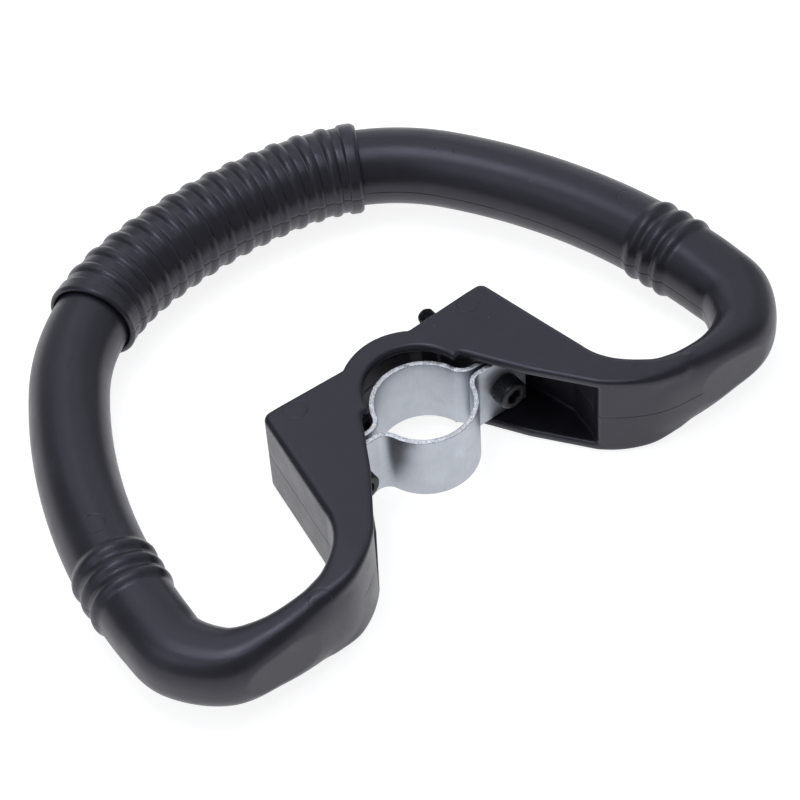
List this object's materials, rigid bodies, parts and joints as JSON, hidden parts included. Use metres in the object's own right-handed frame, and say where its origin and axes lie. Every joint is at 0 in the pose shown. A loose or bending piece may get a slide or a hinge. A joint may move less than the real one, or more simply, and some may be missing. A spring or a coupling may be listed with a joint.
{
  "type": "clamp-on loop handle",
  "caption": "Black plastic D-shaped loop handle with a ribbed grip sleeve and a two-piece steel strap clamp drawn up by socket screws, for a round tube.",
  "frame": {"origin": "on the axis of the clamp bore, at the parting plane of the handle, half way up the strips", "axes": "+Z along the clamp bore axis, +Y from the clamp towards the ribbed grip, +X from the left wing to the right wing"},
  "size_m": [0.2054, 0.1485, 0.0272],
  "materials": {
    "body_plastic": "satin moulded",
    "sleeve_rubber": "satin moulded",
    "zinc_strip": "zinc plated pressed strip",
    "black_screw": "black oxide",
    "zinc_nut": "zinc plated"
  },
  "bodies": {
    "handle": {"handle_body": "body_plastic", "grip_sleeve": "sleeve_rubber", "rear_clamp_strip": "zinc_strip", "right_nut": "zinc_nut", "left_nut": "zinc_nut"},
    "front_clamp": {"front_clamp_strip": "zinc_strip"},
    "right_bolt": {"right_bolt": "black_screw"},
    "left_bolt": {"left_bolt": "black_screw"}
  },
  "joints": [
    {"name": "front_clamp_slide", "type": "slide", "parent": "handle", "child": "front_clamp", "axis": [0, -1, 0], "range_m": [0, 0.0064]},
    {"name": "right_bolt_turn", "type": "hinge", "parent": "front_clamp", "child": "right_bolt", "pos_m": [0.0244, 0, 0], "axis": [0, -1, 0], "range_deg": [0, 2880]},
    {"name": "left_bolt_turn", "type": "hinge", "parent": "front_clamp", "child": "left_bolt", "pos_m": [-0.0244, 0, 0], "axis": [0, -1, 0], "range_deg": [0, 2880]}
  ]
}
